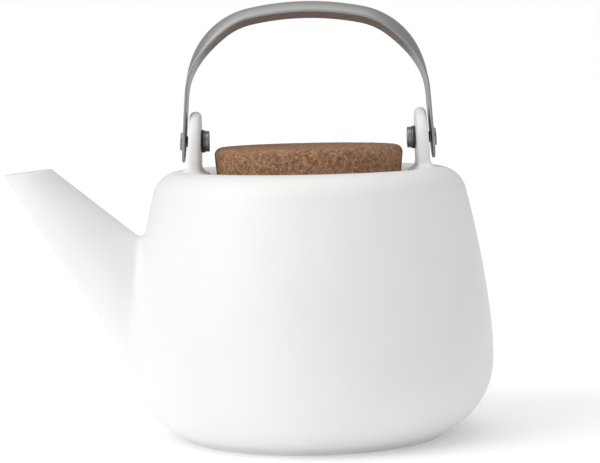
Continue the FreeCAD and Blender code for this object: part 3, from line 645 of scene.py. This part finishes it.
def makeEar(side, marks):
    # a ring section carried round the hinge hole: hole wall, inner face, rounded rim, outer face
    # the outline is a half circle above the hinge and runs straight down below it
    turn = np.linspace(0, 2 * math.pi, ear["columns"] + 1)[:-1]
    c, s = np.cos(turn), np.sin(turn)
    sides = ear["radius"] / np.maximum(np.abs(c), 1e-6)
    bottom = ear["bottom"] / np.maximum(-s, 1e-6)
    reach = np.where(s >= 0, ear["radius"], np.minimum(sides, bottom))
    share = 1 - (1 - np.linspace(0, 1, ear["faceRows"])) ** 1.5
    tilt = np.linspace(-math.pi / 2, math.pi / 2, ear["rimRows"])
    flat = ear["hole"] + share[:, None] * (reach - ear["round"] - ear["hole"])
    rim = reach - ear["round"] + ear["round"] * np.cos(tilt)[:, None]
    distance = np.concatenate([flat, rim[1:-1], flat[::-1]])
    level = np.concatenate([0 * share - 1, np.sin(tilt)[1:-1], 0 * share + 1])[:, None] + 0 * turn
    y, z = distance * c, distance * s
    innerX = ear["inside"] - z * math.tan(rad(ear["inLean"]))
    outerX = ear["inside"] + ear["thick"] - z * math.tan(rad(ear["outLean"]))
    # the rim's corners are rounded by ear["round"], the middle of the rim stays flat
    halfFlat = (outerX - innerX) / 2 - ear["round"]
    x = (innerX + outerX) / 2 + np.sign(level) * halfFlat + level * ear["round"]
    height = z + hingeHeight
    above = height - shoulderHeight(np.hypot(x, y), marks)
    rise = np.clip(1 - above / ear["flare"], 0, 1)
    push = ear["flare"] * (1 - np.sqrt(1 - rise ** 2)) * (s < 0)
    push = np.minimum(push, ear["flare"] * 0.96)
    x = x + push * level
    y = y + push * np.sign(c) * np.sqrt(np.maximum(1 - level ** 2, 0))
    ring = np.stack([x * side, y, height], -1)
    faces = gridFaces(len(ring), len(turn), True)
    wall = np.stack([np.arange(len(turn)), (np.arange(len(turn)) + 1) % len(turn)], 1)
    last = (len(ring) - 1) * len(turn)
    closing = np.stack([wall[:, 0] + last, wall[:, 1] + last, wall[:, 1], wall[:, 0]], 1)
    faces = np.concatenate([faces, closing])
    return ring.reshape(-1, 3), faces[:, ::-1] if side > 0 else faces


shell, shoulderMarks = makeShell()
potPoints, potFaces = gather(shell + [makeEar(1, shoulderMarks), makeEar(-1, shoulderMarks)])
makePiece("pot", potPoints, potFaces, "pot", ["pot_body"], "porcelain", porcelain, sharp=50)


# cork lid

lid = {
    "low": 109.2, "thick": 12.4, "topRadius": 39.6, "lowRadius": 38.7, "round": 3.2,
    "plug": 33.5, "plugDepth": 12.0, "columns": 380,
    "granule": 1.8, "crumb": 1.0, "pit": 0.24, "lump": 0.14, "inset": 0.1,
}


def makeLid():
    top = lid["low"] + lid["thick"]
    bottom, side = lid["low"] - lid["plugDepth"], (lid["topRadius"], top - lid["round"])
    outline = np.concatenate([
        softCorners([(0, bottom, 0), (lid["plug"] - 0.5, bottom, 0.8), (lid["plug"], lid["low"], 0),
                     (lid["lowRadius"], lid["low"], 0.5), (side[0] - 0.05, side[1], 0)])[:-1],
        [side], arcRun(side, (lid["topRadius"] - lid["round"], top), lid["round"], 7), [(0, top)],
    ])
    low = int(np.argmax(outline[:, 0] > lid["plug"] + 0.2))
    profile = np.concatenate([refine(outline[:low + 1], 3.0)[:-1], refine(outline[low:], 0.72)])
    slope = np.gradient(profile, axis=0)
    normal = np.stack([slope[:, 1], -slope[:, 0]], 1) / np.hypot(*slope.T)[:, None]
    points, faces = turned(profile, lid["columns"])
    angle = np.arange(lid["columns"]) * 2 * math.pi / lid["columns"]
    across, up = normal[:, :1], normal[:, 1:]
    out = np.stack([across * np.cos(angle), across * np.sin(angle), up + 0 * angle], -1).reshape(-1, 3)
    # height = lumps of the granules - pits where a seed lies close - an inset that keeps it inside
    near, value = grainDistance(points, lid["granule"])
    pits = easeCurve(1 - near / 0.42) * (value > 0.55)
    fine, fineValue = grainDistance(points, lid["crumb"])
    pits = pits + 0.6 * easeCurve(1 - fine / 0.42) * (fineValue > 0.6)
    lumps = cloudNoise(points, 1.5) * 0.6 + cloudNoise(points, 0.7) * 0.4 - 0.5
    fade = easeCurve(np.hypot(points[:, 0], points[:, 1]) / 4)
    shift = (lumps * lid["lump"] - np.minimum(pits, 1) * lid["pit"] - lid["inset"]) * fade
    return points + out * shift[:, None], faces


makePiece("corkLid", *makeLid(), "lid", ["cork_lid"], "cork", cork, sharp=60)


# handle: a bent strip

strip = {
    "thick": 1.05, "width": 17.4, "inside": 51.4, "splay": 3.8, "crownAngle": 12.0, "bendCurve": 33.0,
    "bendAngle": 66.0, "sideCurve": 40.0, "height": 58.4, "hollow": 4.9, "lean": 8.0, "edge": 0.22,
}


def arcSpan(radius, first, last):
    # across = R (sin last - sin first), down = R (cos first - cos last), for slopes in radians
    return radius * (np.sin(last) - math.sin(first)), radius * (math.cos(first) - np.cos(last))


def archStations():
    # outer line of the strip from the crown to the right end: three tangent arcs and a straight leg
    # the crown's radius is the one that makes the leg meet the hinge
    p = strip
    tanSplay, leg = math.tan(rad(p["splay"])), rad(90 - p["splay"])
    first, second = rad(p["crownAngle"]), rad(p["bendAngle"])
    corner, flank = arcSpan(p["bendCurve"], first, second), arcSpan(p["sideCurve"], second, leg)
    unit = arcSpan(1, 0, first)
    halfWidth = p["inside"] + p["thick"] / math.cos(rad(p["splay"]))
    rest = halfWidth - corner[0] - flank[0] - (p["height"] - corner[1] - flank[1]) * tanSplay
    crown = rest / (unit[0] - unit[1] * tanSplay)
    x, z, made = 0.0, p["height"], [np.array([[0.0, p["height"], 0.0]])]
    arcs = [(crown, 0, first, 12), (p["bendCurve"], first, second, 26), (p["sideCurve"], second, leg, 12)]
    for radius, start, end, steps in arcs:
        slope = np.linspace(start, end, steps + 1)[1:]
        across, down = arcSpan(radius, start, slope)
        made.append(np.stack([x + across, z - down, slope], 1))
        x, z = made[-1][-1, :2]
    half = p["width"] / 2
    down = np.concatenate([np.linspace(0, z, 14)[1:], z + half * np.sin(np.linspace(0, math.pi / 2, 15)[1:])])
    made.append(np.stack([x + down * tanSplay, z - down, 0 * down + leg], 1))
    return np.concatenate(made)


def makeStrip():
    half, thick, soft = strip["width"] / 2, strip["thick"], strip["edge"]
    right = archStations()
    line = np.concatenate([right[::-1][:-1] * (-1, 1, -1), right])
    x, z, slope = line.T
    # half width: full above the hinge, then the half circle root(half^2 - depth^2)
    below = np.maximum(-z, 0)
    reach = np.sqrt(np.maximum(half ** 2 - below ** 2, 1e-4))
    # hollow: all of it over the crown, fading with a smooth step down each leg
    fadeEnd, top = strip["width"] * 1.1, strip["height"] * 0.85
    fading = easeCurve((z - fadeEnd) / (top - fadeEnd))
    sag = strip["hollow"] * np.where(np.abs(slope) < rad(strip["bendAngle"] * 0.5), 1.0, fading)
    # section: outer face, rounded edge, inner face, rounded edge; deep = depth + sag * (wide / half)^2
    face = np.linspace(-1, 1, 17)
    curve = np.linspace(-math.pi / 2, math.pi / 2, 7)[1:-1]
    across = np.concatenate([face, 1 + 0 * curve, face[::-1], -1 + 0 * curve])
    bulge = np.concatenate([0 * face, soft * np.cos(curve), 0 * face, -soft * np.cos(curve)])
    edge = thick * (np.sin(curve) + 1) / 2
    depth = np.concatenate([0 * face, edge, 0 * face + thick, thick - edge])
    flat = reach - soft * np.minimum(reach / 2, 1)
    wide = across * flat[:, None] + bulge * np.minimum(reach, 1)[:, None]
    deep = depth[None, :] + sag[:, None] * (wide / half) ** 2
    px = x[:, None] - np.sin(slope)[:, None] * deep
    pz = z[:, None] - np.cos(slope)[:, None] * deep
    lean = rad(strip["lean"])
    # the arch leans about the hinge: y = wide cos + z sin, height = z cos - wide sin
    py = wide * math.cos(lean) + pz * math.sin(lean)
    height = hingeHeight - wide * math.sin(lean) + pz * math.cos(lean)
    points = np.stack([px, py, height], -1)
    along = lengthAlong(np.stack([x, z], 1))
    # u runs along the strip and v across it, in metres, with the inner face beside the outer one
    v = wide * 0.001 + (depth > thick / 2) * 0.05
    uv = np.stack([along[:, None] * 0.001 + 0 * wide, v], -1)
    return points.reshape(-1, 3), gridFaces(*wide.shape, True), uv.reshape(-1, 2)


stripPoints, stripFaces, stripUv = makeStrip()
makePiece("handleStrip", stripPoints, stripFaces, "handle", ["handle_strip"], "brushed_steel", brushedStrip,
          sharp=45, uv=stripUv)


# hinges

hinge = {
    "shank": 1.5, "sleeve": 2.3, "sleeveFrom": 44.95, "sleeveTo": 51.1, "washer": 4.8,
    "rubberFrom": 43.92, "rubberTo": 44.72, "steelFrom": 43.27, "steelTo": 43.87,
    "nutFrom": 41.42, "nutTo": 43.22, "nut": 4.4, "nutBore": 1.5, "nutBoreDepth": 0.9,
    "head": 3.75, "headThick": 1.2, "screwEnd": 42.4, "bore": 1.55,
}


def onHinge(name, side, outline, body, nodes, slot, material, swing=0.0, tiltAt=None):
    # outline of (x, radius) turned about the hinge axis; tiltAt leans it with the strip about that x
    profile = refine(outline, 0.9)
    points, faces = turned(profile[:, ::-1], 72)
    points = points[:, [2, 0, 1]]
    if tiltAt is not None:
        lean = rad(strip["splay"])
        dx, dz = points[:, 0] - tiltAt, points[:, 2].copy()
        points[:, 0] = tiltAt + dx * math.cos(lean) - dz * math.sin(lean)
        points[:, 2] = dx * math.sin(lean) + dz * math.cos(lean)
    y, z = points[:, 1].copy(), points[:, 2].copy()
    points[:, 1] = y * math.cos(swing) + z * math.sin(swing)
    points[:, 2] = hingeHeight - y * math.sin(swing) + z * math.cos(swing)
    points[:, 0] *= side
    makePiece(name, points, faces, body, nodes, slot, material, sharp=60, flip=side < 0)


def disc(start, end, radius, soft):
    # closed ring outline: out along one face, round the rim, back along the other, and along the bore
    bore = hinge["bore"]
    return softCorners([(start, bore, 0), (start, radius, soft), (end, radius, soft), (end, bore, 0),
                        (start, bore, 0)])


def capNut():
    # a turned cap with a shallow dish in its end and a blind bore for the shank
    h = hinge
    low, high, bottom = h["nutFrom"], h["nutTo"], h["nutTo"] - h["nutBoreDepth"]
    return softCorners([
        (low + 0.12, 0, 0), (low + 0.12, 2.4, 0.5), (low, 2.9, 0.3), (low, h["nut"], 0.45),
        (high, h["nut"], 0.25), (high, h["nutBore"], 0), (bottom, h["nutBore"], 0), (bottom, 0, 0),
    ])


def pivotScrew(face):
    # a plain shank and a low round head with a faint dish, its seat on the strip's outer face
    h, end = hinge, face + hinge["headThick"]
    return softCorners([
        (h["screwEnd"], 0, 0), (h["screwEnd"], h["shank"], 0.3), (face, h["shank"], 0),
        (face + 0.02, h["head"], 0.2), (end, h["head"], 0.45), (end, 2.6, 0.3),
        (end - 0.1, 2.2, 0.3), (end - 0.1, 0, 0),
    ])


def makeHinge(word, side):
    h, lean = hinge, rad(strip["lean"])
    face = strip["inside"] + strip["thick"] / math.cos(rad(strip["splay"]))
    sleeve = disc(h["sleeveFrom"], h["sleeveTo"], h["sleeve"], 0.25)
    rubber = disc(h["rubberFrom"], h["rubberTo"], h["washer"], 0.3)
    steel = disc(h["steelFrom"], h["steelTo"], h["washer"], 0.2)
    onHinge(word + "Sleeve", side, sleeve, "pot", [word + "_sleeve"], "black_plastic", blackNylon)
    onHinge(word + "RubberWasher", side, rubber, "pot", [word + "_rubber_washer"], "black_rubber", softRubber)
    onHinge(word + "SteelWasher", side, steel, "handle", [word + "_steel_washer"], "hinge_steel",
            hingeSteel, lean)
    onHinge(word + "CapNut", side, capNut(), "handle", [word + "_cap_nut"], "hinge_steel",
            hingeSteel, lean)
    onHinge(word + "PivotScrew", side, pivotScrew(face), "handle", [word + "_pivot_screw"], "hinge_steel",
            hingeSteel, lean, face)


makeHinge("left", -1)
makeHinge("right", 1)


# infuser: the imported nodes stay, with a finer finish

for name in ("infuser_rim", "infuser_wall", "infuser_base"):
    node = frame["nodes"][name]
    node.data.materials.clear()
    node.data.materials.append(sheetSteel)
print("infuser finished")


# studio

studio = {
    "camera": (-4.3, -900.0, 155.0), "aim": (-4.3, 0.0, 85.5), "lens": 128.6, "roll": 1.2,
    "sky": (1.0, 1.0, 1.0, 1), "skyStrength": 0.5,
    "floorDark": (0.97, 0.97, 0.97, 1), "floorPale": (0.985, 0.985, 0.985, 1), "floorGlow": 0.15,
    "floorReach": 6000, "floorPoints": 25,
    "lights": [
        # name, where it shines from, strength, softness in degrees
        ("leftWindow", (-900, -480, 620), 1.15, 50),
        ("topPanel", (-160, -60, 1000), 1.0, 70),
    ],
}


def aimAt(thing, place, target, roll=0.0):
    thing.location = Vector(place) * 0.001
    way = (Vector(target) - Vector(place)).to_track_quat("-Z", "Y")
    thing.rotation_euler = (way @ Euler((0, 0, rad(roll))).to_quaternion()).to_euler()


def makeStudio():
    scene = bpy.context.scene
    camera = bpy.data.objects.new("camera", bpy.data.cameras.new("camera"))
    scene.collection.objects.link(camera)
    camera.data.lens, camera.data.sensor_width = studio["lens"], 36.0
    camera.data.clip_start, camera.data.clip_end = 0.01, 50
    aimAt(camera, studio["camera"], studio["aim"], -studio["roll"])
    scene.camera = camera
    for name, place, strength, softness in studio["lights"]:
        light = bpy.data.objects.new(name, bpy.data.lights.new(name, "SUN"))
        light.data.energy, light.data.angle = strength, rad(softness)
        scene.collection.objects.link(light)
        aimAt(light, place, (0, 0, 0))
    world = bpy.data.worlds.new("paleRoom")
    scene.world = world
    world.use_nodes = True
    sky = Signal(world.node_tree)
    world.node_tree.nodes.clear()
    seen = sky.node("ShaderNodeLightPath", {}, {}, "Is Camera Ray")
    strength = studio["skyStrength"] + seen * (1.0 - studio["skyStrength"])
    light = sky.node("ShaderNodeBackground", {}, {"Color": studio["sky"], "Strength": strength})
    sky.node("ShaderNodeOutputWorld", {}, {"Surface": light})
    scene.view_settings.view_transform = "Standard"
    material, tree, place = startMaterial("paleFloor")
    tone = tree.blend(tree.noise(place, 3, 3), studio["floorDark"], studio["floorPale"])
    glow = studio["floorGlow"]
    sockets = {"Base Color": tone, "Roughness": 0.6, "Emission Color": tone, "Emission Strength": glow}
    endMaterial(tree, sockets, tree.noise(place, 900, 3), 0.05, 0.0001)
    # floor: a wide flat grid that lies at the height of the foot
    count = studio["floorPoints"]
    span = np.linspace(-studio["floorReach"], studio["floorReach"], count)
    gx, gy = np.meshgrid(span, span, indexing="xy")
    points = np.stack([gx, gy, 0 * gx], -1).reshape(-1, 3) * 0.001
    mesh = bpy.data.meshes.new("floor")
    mesh.from_pydata(points.tolist(), [], gridFaces(count, count, False).tolist())
    mesh.materials.append(material)
    floor = bpy.data.objects.new("floor", mesh)
    scene.collection.objects.link(floor)
    floor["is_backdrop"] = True
    print("studio set")


makeStudio()
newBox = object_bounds()
for label, box in (("cad box", cadBox), ("visual box", newBox)):
    print(label, [[round(v * 1000, 1) for v in corner] for corner in box])
